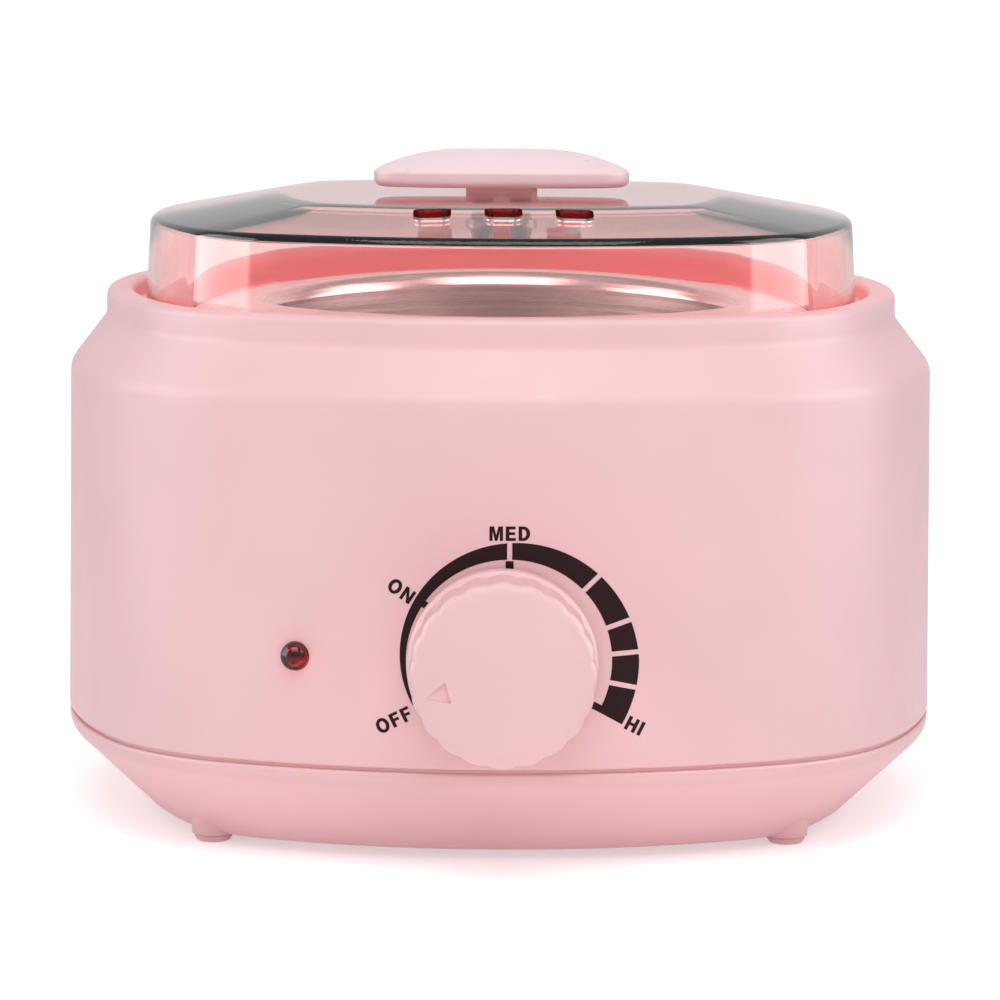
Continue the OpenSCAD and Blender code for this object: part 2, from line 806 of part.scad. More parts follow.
placed() housing_shell();
placed() base_shell();
placed() rubber_feet();
placed() base_screws();
placed() cord_gland();
placed() heating_well();
placed() well_gasket();
placed() well_screws();
placed() heater_band();
placed() heater_terminals();
placed() band_clamp_screw();
placed() insulation_sleeve();
placed() thermal_fuse();
placed() fuse_clip();
placed() thermostat_case();
placed() thermostat_cover();
placed() thermostat_terminals();
placed() thermostat_nut();
placed() sensor_bulb();
placed() sensor_capillary();
placed() bulb_clips();
placed() indicator_lens();
placed() indicator_holder();
placed() indicator_lamp();
placed() terminal_block();
placed() terminal_screws();
placed() block_screws();
placed() heater_leads();
placed() thermostat_leads();
placed() lamp_leads();
placed() control_knob();
placed() knob_spring();
placed() thermostat_shaft();
placed() wax_pot();
placed() lid_shell();
placed() lid_handle();
placed() handle_screws();
placed() handle_washers();
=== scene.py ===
import json
import math

import bmesh
import bpy
import numpy as np
from mathutils import Matrix, Vector
from mathutils.bvhtree import BVHTree


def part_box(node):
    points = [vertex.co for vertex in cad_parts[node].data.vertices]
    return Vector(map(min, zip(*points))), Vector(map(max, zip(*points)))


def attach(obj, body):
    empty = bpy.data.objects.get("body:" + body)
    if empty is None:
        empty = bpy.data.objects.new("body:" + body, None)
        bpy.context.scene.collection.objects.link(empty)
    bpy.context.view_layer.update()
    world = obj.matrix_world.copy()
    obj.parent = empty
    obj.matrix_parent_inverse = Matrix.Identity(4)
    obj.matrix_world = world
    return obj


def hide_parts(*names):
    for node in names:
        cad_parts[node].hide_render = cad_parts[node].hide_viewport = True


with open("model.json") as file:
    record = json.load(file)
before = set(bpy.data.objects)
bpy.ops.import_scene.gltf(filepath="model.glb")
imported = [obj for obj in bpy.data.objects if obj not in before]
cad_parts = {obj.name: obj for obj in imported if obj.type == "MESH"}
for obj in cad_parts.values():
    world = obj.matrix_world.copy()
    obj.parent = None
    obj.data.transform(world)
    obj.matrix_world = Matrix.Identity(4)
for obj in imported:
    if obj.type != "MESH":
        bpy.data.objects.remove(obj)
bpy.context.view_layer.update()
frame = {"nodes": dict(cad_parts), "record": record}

# Sizes are in millimetres, as in the CAD model, and become metres where a mesh is made.
MM = 0.001

# The body's plan: four bowed sides joined by four tangent corners
BODY_HALF = 95.0
SIDE_R = 137.0
CORNER_R = 52.0
SIDE_OFF = SIDE_R - BODY_HALF
TANGENT = math.acos(SIDE_OFF / ((SIDE_R - CORNER_R) * math.sqrt(2))) - math.pi / 4
CORNER_C = (SIDE_R - CORNER_R) * math.sin(TANGENT)
SIDE_STEPS = 40
CORNER_STEPS = 24
ARC_STEPS = 7
ROUND_STEPS = 4 * (SIDE_STEPS + CORNER_STEPS)

# Heights and wall places
WALL = 2.5
SEAM_Z = 21.5
SEAM_GAP = 0.4
SEAM_FLARE = 0.6
SHOULDER_Z = 97.7
COLLAR_Z = 108.0
RIM_Z = 114.0
DECK_Z = 110.0
DECK_T = 3.0
COLLAR_IN = 7.9
RIM_IN = 14.0
BASE_Z = 1.8
BASE_IN = 17.0
LIP_Z = 18.2
DECK_HOLE_R = 57.0
SEAT_R = 66.5
SEAT_Z = 101.5
COLUMN_C = 51.0
COLUMN_FOOT_Z = 12.0
COLUMN_R = 4.5
POST_R = 5.8
SCREW_WELL_R = 4.0
SCREW_SHANK_R = 2.3
SCREW_PILOT_R = 2.05
WELL_SCREW_C = 61.5
WELL_SCREW_ANGLES = (45, 135, 225, 315)
BLOCK_SCREW_X = 18.4
BLOCK_SCREW_Y = 52.0
SLOT_HALF_X = 1.5
SLOT_HALF_Y = 13.0
SLOT_Y = -9.0
FOOT_X = 61.0
FOOT_Y = 58.0
FOOT_R = 4.6
FOOT_STEM_R = 2.0

# Front controls
KNOB_Z = 44.5
KNOB_R = 19.6
KNOB_OUT = 20.5
KNOB_GAP = 1.2
KNOB_LOBES = 20
POINTER_ANGLE = math.radians(196)
SHAFT_R = 3.0
LAMP_X = -42.5
LAMP_ANGLE = math.asin(LAMP_X / SIDE_R)
LENS_R = 3.03
FRONT_Y = -BODY_HALF - 0.45
GLAND_Z = 33.0
GLAND_HOLE_R = 5.42

# Pot and lid
POT_R = 52.4
POT_FLANGE_R = 66.0
POT_DEPTH = 62.5
POT_WALL = 1.1
LID_IN = BODY_HALF - 78.5
LID_FLAT_IN = BODY_HALF - 50.0
LID_SHOULDER_Z = 129.6
LID_TOP_Z = 134.5
LID_WALL = 2.2
LID_EDGE_WALL = 1.5
VENT_ROW_Y = -54.3
VENT_PITCH = 15.0
VENT_HALF = 4.0
HANDLE_LEN = 56.5
HANDLE_W = 22.0
HANDLE_Z = LID_TOP_Z + 1.5
HANDLE_H = 8.2
HANDLE_SCREWS = ((-4.2, 0), (4.2, 0))

# The middle of the body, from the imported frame
lid_low, lid_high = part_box("lid_shell")
CENTRE_Y = round((lid_low.y + lid_high.y) / 2 / MM, 3)


# ---- Outlines ----

def unit(v):
    return v / np.linalg.norm(v)


def rounded(points, closed=True, steps=ARC_STEPS):
    """The line through points (a, b, radius), each corner rounded by its radius."""
    p = [np.array(q[:2], float) for q in points]
    n = len(p)
    out = []
    for i, q in enumerate(points):
        end = not closed and i in (0, n - 1)
        if end or q[2] <= 0:
            out.append(p[i])
            continue
        u, v = unit(p[i - 1] - p[i]), unit(p[(i + 1) % n] - p[i])
        half = math.acos(max(-1.0, min(1.0, float(u @ v)))) / 2
        centre = p[i] + unit(u + v) * q[2] / math.sin(half)
        first = p[i] + u * q[2] / math.tan(half) - centre
        last = p[i] + v * q[2] / math.tan(half) - centre
        start = math.atan2(first[1], first[0])
        sweep = (math.atan2(last[1], last[0]) - start + 3 * math.pi) % (2 * math.pi) - math.pi
        for k in range(steps + 1):
            t = start + sweep * k / steps
            out.append(centre + q[2] * np.array([math.cos(t), math.sin(t)]))
    return np.array(out)


def plan(offset):
    """The body's outline grown by offset, anticlockwise from above."""
    out = []
    for quarter in range(4):
        turn = quarter * math.pi / 2
        c, s = math.cos(turn), math.sin(turn)
        for i in range(SIDE_STEPS):
            t = -math.pi / 2 - TANGENT + 2 * TANGENT * i / SIDE_STEPS
            x, y = (SIDE_R + offset) * math.cos(t), SIDE_OFF + (SIDE_R + offset) * math.sin(t)
            out.append((x * c - y * s, x * s + y * c))
        for i in range(CORNER_STEPS):
            t = -math.pi / 2 + TANGENT + (math.pi / 2 - 2 * TANGENT) * i / CORNER_STEPS
            x, y = CORNER_C + (CORNER_R + offset) * math.cos(t), -CORNER_C + (CORNER_R + offset) * math.sin(t)
            out.append((x * c - y * s, x * s + y * c))
    return np.array(out)


PLAN_ANGLES = np.arctan2(*plan(-RIM_IN)[:, ::-1].T)


def plan_rings(profile):
    """One ring of the plan for each (offset, height)."""
    return [np.column_stack([plan(a), np.full(ROUND_STEPS, z)]) for a, z in profile]


def circle_rings(profile):
    """One circle for each (radius, height), its points in line with the plan's."""
    return [
        np.column_stack([r * np.cos(PLAN_ANGLES), r * np.sin(PLAN_ANGLES), np.full(ROUND_STEPS, z)])
        for r, z in profile
    ]


# ---- Meshes ----

def loft(rings, closed=False):
    """Vertices and faces of a skin through the rings. An open skin is closed by a flat face at each end."""
    n, m = len(rings), len(rings[0])
    verts = np.vstack(rings)
    faces = []
    for i in range(n if closed else n - 1):
        j = (i + 1) % n
        for k in range(m):
            k2 = (k + 1) % m
            faces.append((i * m + k, i * m + k2, j * m + k2, j * m + k))
    if not closed:
        faces.append(tuple(range(m - 1, -1, -1)))
        faces.append(tuple((n - 1) * m + k for k in range(m)))
    return verts, faces


def lathe(profile, closed=False, steps=96):
    """A solid of revolution about Z of (radius, height) points. Radius 0 closes to a point."""
    t = np.arange(steps) * 2 * math.pi / steps
    rings = [np.column_stack([r * np.cos(t), r * np.sin(t), np.full(steps, z)]) for r, z in profile]
    verts, faces = loft(rings, closed=True)
    if not closed:
        faces = faces[: -steps]
    return verts, faces


def rod(r, z0, z1, bevel=0.0, steps=64):
    """A cylinder about Z with bevelled ends."""
    profile = [(0, z0, 0), (r, z0, bevel), (r, z1, bevel), (0, z1, 0)]
    return lathe(rounded(profile, closed=False, steps=3), steps=steps)


def flat_rings(outline, heights):
    """The outline (x, y) repeated at each height."""
    return [np.column_stack([outline, np.full(len(outline), z)]) for z in heights]


def moved(mesh, matrix):
    """The mesh (verts, faces) with its vertices moved by the matrix, whose numbers are in millimetres."""
    verts, faces = mesh
    m = np.array(matrix)
    out = np.asarray(verts) @ m[:3, :3].T + m[:3, 3]
    if np.linalg.det(m[:3, :3]) < 0:
        faces = [f[::-1] for f in faces]
    return out, faces


def at(x=0.0, y=0.0, z=0.0):
    return Matrix.Translation((x, y, z))


def rods(r, z0, z1, places, bevel=0.0):
    """Upright rods with bevelled ends, one at each (x, y)."""
    return [moved(rod(r, z0, z1, bevel), at(x, y)) for x, y in places]


def along_y():
    """Turns a shape about Z to lie about Y, its +Z end towards -Y."""
    return Matrix.Rotation(math.pi / 2, 4, "X")


def joined(meshes):
    """Several (verts, faces) as one."""
    verts, faces, base = [], [], 0
    for v, f in meshes:
        verts.append(np.asarray(v, float))
        faces += [tuple(base + k for k in face) for face in f]
        base += len(v)
    return np.vstack(verts), faces


def make_object(name, mesh):
    """A Blender object of the mesh, in metres about the body's middle, with its faces turned outwards."""
    verts, faces = mesh
    placed = (np.asarray(verts, float) + (0, CENTRE_Y, 0)) * MM
    data = bpy.data.meshes.new(name)
    data.from_pydata([tuple(v) for v in placed], [], [tuple(int(k) for k in f) for f in faces])
    bm = bmesh.new()
    bm.from_mesh(data)
    bmesh.ops.remove_doubles(bm, verts=bm.verts, dist=1e-7)
    bmesh.ops.dissolve_degenerate(bm, edges=bm.edges, dist=1e-7)
    bmesh.ops.recalc_face_normals(bm, faces=bm.faces)
    bm.to_mesh(data)
    bm.free()
    obj = bpy.data.objects.new(name, data)
    bpy.context.scene.collection.objects.link(obj)
    return obj


def bake_modifiers(obj):
    """Replaces the object's mesh by what its modifiers make."""
    graph = bpy.context.evaluated_depsgraph_get()
    result = bpy.data.meshes.new_from_object(obj.evaluated_get(graph))
    old = obj.data
    obj.modifiers.clear()
    obj.data = result
    result.name = obj.name
    bpy.data.meshes.remove(old)


def boolean(obj, mesh, operation):
    """Adds or cuts away a mesh. It is one closed solid, or solids that stay clear of each other."""
    tool = make_object(obj.name + "_tool", mesh)
    mod = obj.modifiers.new("boolean", "BOOLEAN")
    mod.operation = operation
    mod.solver = "EXACT"
    mod.object = tool
    bake_modifiers(obj)
    bpy.data.meshes.remove(tool.data)


def clean(obj):
    """Welds what a boolean left apart and removes faces with no area."""
    bm = bmesh.new()
    bm.from_mesh(obj.data)
    bmesh.ops.remove_doubles(bm, verts=bm.verts, dist=2e-7)
    bmesh.ops.dissolve_degenerate(bm, edges=bm.edges, dist=2e-7)
    bm.to_mesh(obj.data)
    bm.free()


def shade(obj, angle=32, weighted=True):
    """Smooth shading that keeps edges sharper than the angle."""
    obj.data.shade_smooth()
    obj.data.set_sharp_from_angle(angle=math.radians(angle))
    if weighted:
        mod = obj.modifiers.new("normals", "WEIGHTED_NORMAL")
        mod.keep_sharp = True
        mod.weight = 80


def keep_normals(obj, smooth_mesh, near=0.03):
    """Gives the cut object the shading of the uncut surface wherever it still lies on it."""
    guide = make_object(obj.name + "_guide", smooth_mesh)
    guide.data.shade_smooth()
    guide.data.set_sharp_from_angle(angle=math.radians(32))
    bm = bmesh.new()
    bm.from_mesh(guide.data)
    bm.faces.ensure_lookup_table()
    tree = BVHTree.FromBMesh(bm)
    corner = {}
    split = [n.vector.copy() for n in guide.data.corner_normals]
    for poly in guide.data.polygons:
        corner[poly.index] = [(guide.data.vertices[guide.data.loops[k].vertex_index].co.copy(), split[k])
                              for k in poly.loop_indices]
    bm.free()
    mesh = obj.data
    own = [n.vector.copy() for n in mesh.corner_normals]
    for poly in mesh.polygons:
        for k in poly.loop_indices:
            co = mesh.vertices[mesh.loops[k].vertex_index].co
            inward = co.lerp(poly.center, 0.02)
            hit, normal, index, distance = tree.find_nearest(inward)
            if hit is None or distance > near * MM or normal.dot(poly.normal) < 0.9:
                continue
            weight, total = 0.0, Vector((0, 0, 0))
            for place, n in corner[index]:
                w = 1.0 / ((place - hit).length + 1e-6)
                total += n * w
                weight += w
            own[k] = (total / weight).normalized()
    mesh.normals_split_custom_set([tuple(n) for n in own])
    bpy.data.meshes.remove(guide.data)


def finish_piece(obj, body, material, node=None):
    """Puts a piece on its body and its material."""
    obj.data.materials.clear()
    obj.data.materials.append(material)
    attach(obj, body)
    if node:
        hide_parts(node)
    return obj


# ---- Materials ----

# The height of a surface's grain, in metres
GRAIN_DEPTH = 0.00002


def linear(*rgb):
    """An sRGB colour of 0 to 255 as linear RGBA."""
    def one(c):
        c /= 255
        return c / 12.92 if c <= 0.04045 else ((c + 0.055) / 1.055) ** 2.4
    return (*[one(c) for c in rgb], 1.0)


def node_at(tree, kind, **values):
    node = tree.nodes.new(kind)
    for key, value in values.items():
        setattr(node, key, value)
    return node


def new_material(name):
    mat = bpy.data.materials.new(name)
    mat.use_nodes = True
    tree = mat.node_tree
    shader = tree.nodes["Principled BSDF"]
    return mat, tree, shader


def object_coords(tree, squeeze=None):
    """Object coordinates, in metres, with the axes in squeeze scaled."""
    coords = node_at(tree, "ShaderNodeTexCoord")
    if squeeze is None:
        return coords.outputs["Object"]
    mapping = node_at(tree, "ShaderNodeMapping")
    mapping.inputs["Scale"].default_value = squeeze
    tree.links.new(coords.outputs["Object"], mapping.inputs["Vector"])
    return mapping.outputs["Vector"]


def lathe_coords(tree, centre_x, centre_y):
    """(distance from the upright axis, 0, height), so that a texture runs in rings."""
    coords = node_at(tree, "ShaderNodeTexCoord")
    shift = node_at(tree, "ShaderNodeVectorMath", operation="SUBTRACT")
    shift.inputs[1].default_value = (centre_x, centre_y, 0)
    flat = node_at(tree, "ShaderNodeVectorMath", operation="MULTIPLY")
    flat.inputs[1].default_value = (1, 1, 0)
    length = node_at(tree, "ShaderNodeVectorMath", operation="LENGTH")
    split = node_at(tree, "ShaderNodeSeparateXYZ")
    ring = node_at(tree, "ShaderNodeCombineXYZ")
    tree.links.new(coords.outputs["Object"], shift.inputs[0])
    tree.links.new(shift.outputs["Vector"], flat.inputs[0])
    tree.links.new(flat.outputs["Vector"], length.inputs[0])
    tree.links.new(shift.outputs["Vector"], split.inputs[0])
    tree.links.new(length.outputs["Value"], ring.inputs[0])
    tree.links.new(split.outputs["Z"], ring.inputs[2])
    return ring.outputs["Vector"]


def noise(tree, vector, scale, detail=3.0):
    tex = node_at(tree, "ShaderNodeTexNoise")
    tex.inputs["Scale"].default_value = scale
    tex.inputs["Detail"].default_value = detail
    tree.links.new(vector, tex.inputs["Vector"])
    return tex.outputs["Fac"]


def ramp(tree, factor, low, high, start=0.3, end=0.7):
    """A colour that goes from low to high as the factor goes from start to end."""
    node = node_at(tree, "ShaderNodeValToRGB")
    node.color_ramp.elements[0].position = start
    node.color_ramp.elements[0].color = low
    node.color_ramp.elements[1].position = end
    node.color_ramp.elements[1].color = high
    tree.links.new(factor, node.inputs["Fac"])
    return node.outputs["Color"]


def spread(tree, factor, low, high):
    """A number that goes from low to high over the middle of a noise."""
    node = node_at(tree, "ShaderNodeMapRange")
    node.inputs["From Min"].default_value = 0.3
    node.inputs["From Max"].default_value = 0.7
    node.inputs["To Min"].default_value = low
    node.inputs["To Max"].default_value = high
    tree.links.new(factor, node.inputs["Value"])
    return node.outputs["Result"]


def bump(tree, shader, height, strength, distance):
    node = node_at(tree, "ShaderNodeBump")
    node.inputs["Strength"].default_value = strength
    node.inputs["Distance"].default_value = distance
    tree.links.new(height, node.inputs["Height"])
    tree.links.new(node.outputs["Normal"], shader.inputs["Normal"])


def feed(tree, shader, colour, rough):
    """Links the shader's base colour and roughness."""
    tree.links.new(colour, shader.inputs["Base Color"])
    tree.links.new(rough, shader.inputs["Roughness"])


def tinted(colour, share):
    return (*[min(1.0, c * share) for c in colour[:3]], 1.0)


def plastic(name, colour, rough, grain=2600.0, strength=0.25, vary=0.03, shine=0.5):
    """Moulded plastic or rubber: faint mottling, uneven gloss and a fine grain."""
    mat, tree, shader = new_material(name)
    coords = object_coords(tree)
    broad = noise(tree, coords, 28.0, 2.0)
    fine = noise(tree, coords, grain, 2.0)
    mottled = ramp(tree, broad, tinted(colour, 1 - vary), tinted(colour, 1 + vary))
    feed(tree, shader, mottled, spread(tree, noise(tree, coords, 160.0), rough * 0.9, rough * 1.12))
    bump(tree, shader, fine, strength, GRAIN_DEPTH)
    shader.inputs["IOR"].default_value = 1.5
    shader.inputs["Specular IOR Level"].default_value = shine
    return mat


def metal(name, colour, rough, coords_of=object_coords, grain=700.0, depth=GRAIN_DEPTH, strength=0.3,
          squeeze=None):
    """Metal with a fine directional or ringed grain."""
    mat, tree, shader = new_material(name)
    coords = coords_of(tree) if squeeze is None else object_coords(tree, squeeze)
    lines = noise(tree, coords, grain, 4.0)
    clouds = noise(tree, object_coords(tree), 60.0, 3.0)
    clouded = ramp(tree, clouds, tinted(colour, 0.96), tinted(colour, 1.02))
    feed(tree, shader, clouded, spread(tree, lines, rough * 0.75, rough * 1.3))
    bump(tree, shader, lines, strength, depth)
    shader.inputs["Metallic"].default_value = 1.0
    return mat


def glass(name, tint, rough, ior, absorb, density):
    """Clear tinted plastic, darker along longer paths, that lets lamps through."""
    mat, tree, shader = new_material(name)
    coords = object_coords(tree)
    shader.inputs["Transmission Weight"].default_value = 1.0
    shader.inputs["IOR"].default_value = ior
    cast = ramp(tree, noise(tree, coords, 22.0), tinted(tint, 0.985), tint)
    feed(tree, shader, cast, spread(tree, noise(tree, coords, 90.0), rough * 0.6, rough * 1.6))
    clear = node_at(tree, "ShaderNodeBsdfTransparent")
    path = node_at(tree, "ShaderNodeLightPath")
    mix = node_at(tree, "ShaderNodeMixShader")
    out = tree.nodes["Material Output"]
    tree.links.new(path.outputs["Is Shadow Ray"], mix.inputs["Fac"])
    tree.links.new(shader.outputs["BSDF"], mix.inputs[1])
    tree.links.new(clear.outputs["BSDF"], mix.inputs[2])
    tree.links.new(mix.outputs["Shader"], out.inputs["Surface"])
    volume = node_at(tree, "ShaderNodeVolumeAbsorption")
    volume.inputs["Color"].default_value = absorb
    volume.inputs["Density"].default_value = density
    tree.links.new(volume.outputs["Volume"], out.inputs["Volume"])
    return mat


def woven(name, colour, rough):
    """Glass-fibre sleeve: an open plain weave."""
    mat, tree, shader = new_material(name)
    coords = object_coords(tree)
    weave = node_at(tree, "ShaderNodeTexWave", wave_type="BANDS", bands_direction="Z")
    weave.inputs["Scale"].default_value = 240.0
    weave.inputs["Distortion"].default_value = 1.5
    warp = node_at(tree, "ShaderNodeTexWave", wave_type="BANDS", bands_direction="DIAGONAL")
    warp.inputs["Scale"].default_value = 200.0
    both = node_at(tree, "ShaderNodeMath", operation="MULTIPLY")
    tree.links.new(coords, weave.inputs["Vector"])
    tree.links.new(coords, warp.inputs["Vector"])
    tree.links.new(weave.outputs["Fac"], both.inputs[0])
    tree.links.new(warp.outputs["Fac"], both.inputs[1])
    threads = ramp(tree, both.outputs["Value"], tinted(colour, 0.8), colour, 0.0, 0.8)
    tree.links.new(threads, shader.inputs["Base Color"])
    shader.inputs["Roughness"].default_value = rough
    bump(tree, shader, both.outputs["Value"], 0.6, 0.0003)
    return mat


def spun_coords(tree):
    return lathe_coords(tree, 0.0, CENTRE_Y * MM)


PINK = linear(244, 199, 203)
MATERIALS = {
    "housing_plastic": plastic("satin pink housing", PINK, 0.42),
    "base_plastic": plastic("satin pink base", linear(243, 196, 200), 0.45),
    "knob_plastic": plastic("satin pink knob", PINK, 0.4, grain=3200.0),
    "handle_plastic": plastic("pale pink handle", linear(252, 226, 230), 0.3, grain=3600.0, strength=0.05),
    "pink_rubber": plastic("pink rubber", linear(240, 196, 198), 0.7, grain=3800.0, strength=0.5),
    "black_rubber": plastic("black rubber", linear(38, 38, 40), 0.62, grain=3000.0, strength=0.5, vary=0.12),
    "black_plastic": plastic("black plastic", linear(40, 40, 43), 0.45, vary=0.1),
    "dial_ink": plastic(
        "dark printing ink", linear(40, 14, 16), 0.55, grain=5200.0, strength=0.4, vary=0.12, shine=0.2),
    "screw_steel": metal("zinc plated screw steel", (0.62, 0.62, 0.64), 0.3, grain=1500.0),
    "zinc_steel": metal("zinc plated sheet steel", (0.66, 0.66, 0.68), 0.34, squeeze=(1, 1, 6)),
    "heater_steel": metal("mill finish steel", (0.55, 0.53, 0.5), 0.42, squeeze=(1, 1, 8)),
    "well_aluminium": metal("spun well aluminium", (0.75, 0.74, 0.73), 0.36, spun_coords, 1400.0),
    "pot_aluminium": metal("spun pot aluminium", (0.8, 0.78, 0.78), 0.25, spun_coords, 1900.0, 0.00001, 0.25),
    "terminal_brass": metal("plain brass", (0.8, 0.62, 0.3), 0.28, grain=1200.0),
    "copper": metal("drawn copper", (0.72, 0.42, 0.28), 0.3, grain=1200.0),
    "glass_fibre": woven("woven glass fibre", (0.85, 0.82, 0.74, 1), 0.85),
    "white_silicone": plastic("white silicone", (0.85, 0.84, 0.8, 1), 0.6, strength=0.4),
    "white_ceramic": plastic("fired ceramic", (0.88, 0.85, 0.78, 1), 0.5, grain=1800.0, strength=0.5),
    "white_nylon": plastic("white nylon", (0.85, 0.84, 0.8, 1), 0.42),
    "white_insulation": plastic("white wire insulation", (0.85, 0.85, 0.86, 1), 0.4),
    "grey_insulation": plastic("grey wire insulation", (0.12, 0.12, 0.13, 1), 0.42, vary=0.1),
    "red_insulation": plastic("red wire insulation", (0.5, 0.04, 0.04, 1), 0.4, vary=0.1),
    "red_lens": glass("red lens", linear(238, 14, 20), 0.03, 1.49, (0.9, 0.02, 0.03, 1), 420.0),
    "lamp_glass": glass("lamp glass", linear(255, 224, 200), 0.02, 1.5, (0.95, 0.6, 0.4, 1), 60.0),
    "tinted_clear": glass(
        "rose tinted clear", linear(255, 250, 249), 0.012, 1.49, (0.86, 0.06, 0.05, 1), 125.0),
}


def dress_cad_nodes():
    """Puts each CAD node's own material on it."""
    for part in frame["record"]["subparts"]:
        node = frame["nodes"][part["node"]]
        node.data.materials.clear()
        node.data.materials.append(MATERIALS[part["material_slot"]])


# ---- Housing and base ----

def housing_mesh():
    slope = math.atan2(COLLAR_IN, COLLAR_Z - SHOULDER_Z)
    inner_shoulder_z = SHOULDER_Z - WALL * math.tan(slope / 2)
    deck_under = DECK_Z - DECK_T
    deck_edge_in = WALL + (deck_under - inner_shoulder_z) * math.tan(slope)
    outside = rounded([
        (SEAM_FLARE - WALL, SEAM_Z + SEAM_GAP, 0.3),
        (SEAM_FLARE, SEAM_Z + SEAM_GAP, 0.7),
        (0, SHOULDER_Z, 5),
        (-COLLAR_IN, COLLAR_Z, 3),
        (-COLLAR_IN - 0.1, RIM_Z, 1.6),
        (-RIM_IN, RIM_Z, 1.4),
        (-RIM_IN, DECK_Z, 0.5),
        (-RIM_IN - 3, DECK_Z, 0),
    ], closed=False)[1:]
    opening = rounded([
        (DECK_HOLE_R + 4, DECK_Z, 0),
        (DECK_HOLE_R, DECK_Z, 0.8),
        (DECK_HOLE_R, SEAT_Z, 0.3),
        (SEAT_R, SEAT_Z, 0.4),
        (SEAT_R, deck_under, 0.6),
        (SEAT_R + 3, deck_under, 0),
    ], closed=False)
    inside = rounded([
        (-deck_edge_in - 3, deck_under, 0),
        (-deck_edge_in, deck_under, 0.8),
        (-WALL, inner_shoulder_z, 3),
        (SEAM_FLARE - WALL, SEAM_Z + SEAM_GAP, 0.3),
        (SEAM_FLARE - WALL + 1, SEAM_Z + SEAM_GAP, 0),
    ], closed=False)[:-1]
    return loft(plan_rings(outside) + circle_rings(opening) + plan_rings(inside), closed=True)


def front_rod(r, y0, y1, x=0.0, z=KNOB_Z, bevel=0.0):
    """A rod about the Y axis from y0 back to y1, in the body's own frame."""
    return moved(rod(r, -y1, -y0, bevel), at(x, 0, z) @ along_y())


def lamp_frame():
    """The frame of the indicator lamp, square to the bowed front wall."""
    return at(0, SIDE_OFF, KNOB_Z) @ Matrix.Rotation(LAMP_ANGLE, 4, "Z")


def lamp_rod(r, y0, y1, bevel=0.0):
    return moved(rod(r, -y1, -y0, bevel), lamp_frame() @ along_y())


def corners(x, y):
    return [(sx * x, sy * y) for sx in (-1, 1) for sy in (-1, 1)]


COLUMNS = corners(COLUMN_C, COLUMN_C)
FEET = corners(FOOT_X, FOOT_Y)


def make_housing():
    skin = housing_mesh()
    housing = make_object("housing", skin)
    pad_y = FRONT_Y + 4
    lamp_pad_y = -SIDE_R + 4
    bosses = rods(COLUMN_R, COLUMN_FOOT_Z, DECK_Z - DECK_T + 1, COLUMNS, 0.3)
    boolean(housing, joined(bosses), "UNION")
    pads = [
        front_rod(14, pad_y - 3, pad_y, bevel=0.4),
        lamp_rod(6.5, lamp_pad_y - 3.4, lamp_pad_y, 0.4),
        front_rod(8.4, BODY_HALF - 3, BODY_HALF + 0.9, z=GLAND_Z, bevel=0.4),
    ]
    boolean(housing, joined(pads), "UNION")
    holes = rods(SCREW_PILOT_R, COLUMN_FOOT_Z - 1, COLUMN_FOOT_Z + 14, COLUMNS)
    holes += [
        moved(rod(1.55, SEAT_Z - 1, SEAT_Z + 6), Matrix.Rotation(math.radians(a), 4, "Z") @ at(WELL_SCREW_C))
        for a in WELL_SCREW_ANGLES
    ]
    holes += [
        front_rod(5.1, FRONT_Y - 3, pad_y + 1),
        lamp_rod(LENS_R + 0.05, -SIDE_R - 3, lamp_pad_y + 1),
        front_rod(GLAND_HOLE_R, BODY_HALF - 8, BODY_HALF + 4, z=GLAND_Z),
    ]
    boolean(housing, joined(holes), "DIFFERENCE")
    clean(housing)
    shade(housing, weighted=False)
    keep_normals(housing, skin)
    return finish_piece(housing, "warmer", MATERIALS["housing_plastic"], "housing_shell")


def base_mesh():
    profile = rounded([
        (-BASE_IN - 6, BASE_Z, 0),
        (-BASE_IN, BASE_Z, 4),
        (SEAM_FLARE - 0.3, LIP_Z, 3.5),
        (SEAM_FLARE, SEAM_Z - SEAM_GAP, 0.6),
        (-0.5, SEAM_Z - SEAM_GAP, 0.1),
        (-0.5, SEAM_Z + SEAM_GAP - 0.1, 0.1),
        (-WALL + 0.4, SEAM_Z + SEAM_GAP - 0.1, 0.1),
        (-WALL + 0.4, SEAM_Z + 3, 0.3),
        (-4, SEAM_Z + 3, 0.3),
        (-4, LIP_Z - 0.7, 1),
        (-BASE_IN - 1, BASE_Z + WALL, 1),
        (-BASE_IN - 6, BASE_Z + WALL, 0),
    ], closed=False)
    return loft(plan_rings(profile))


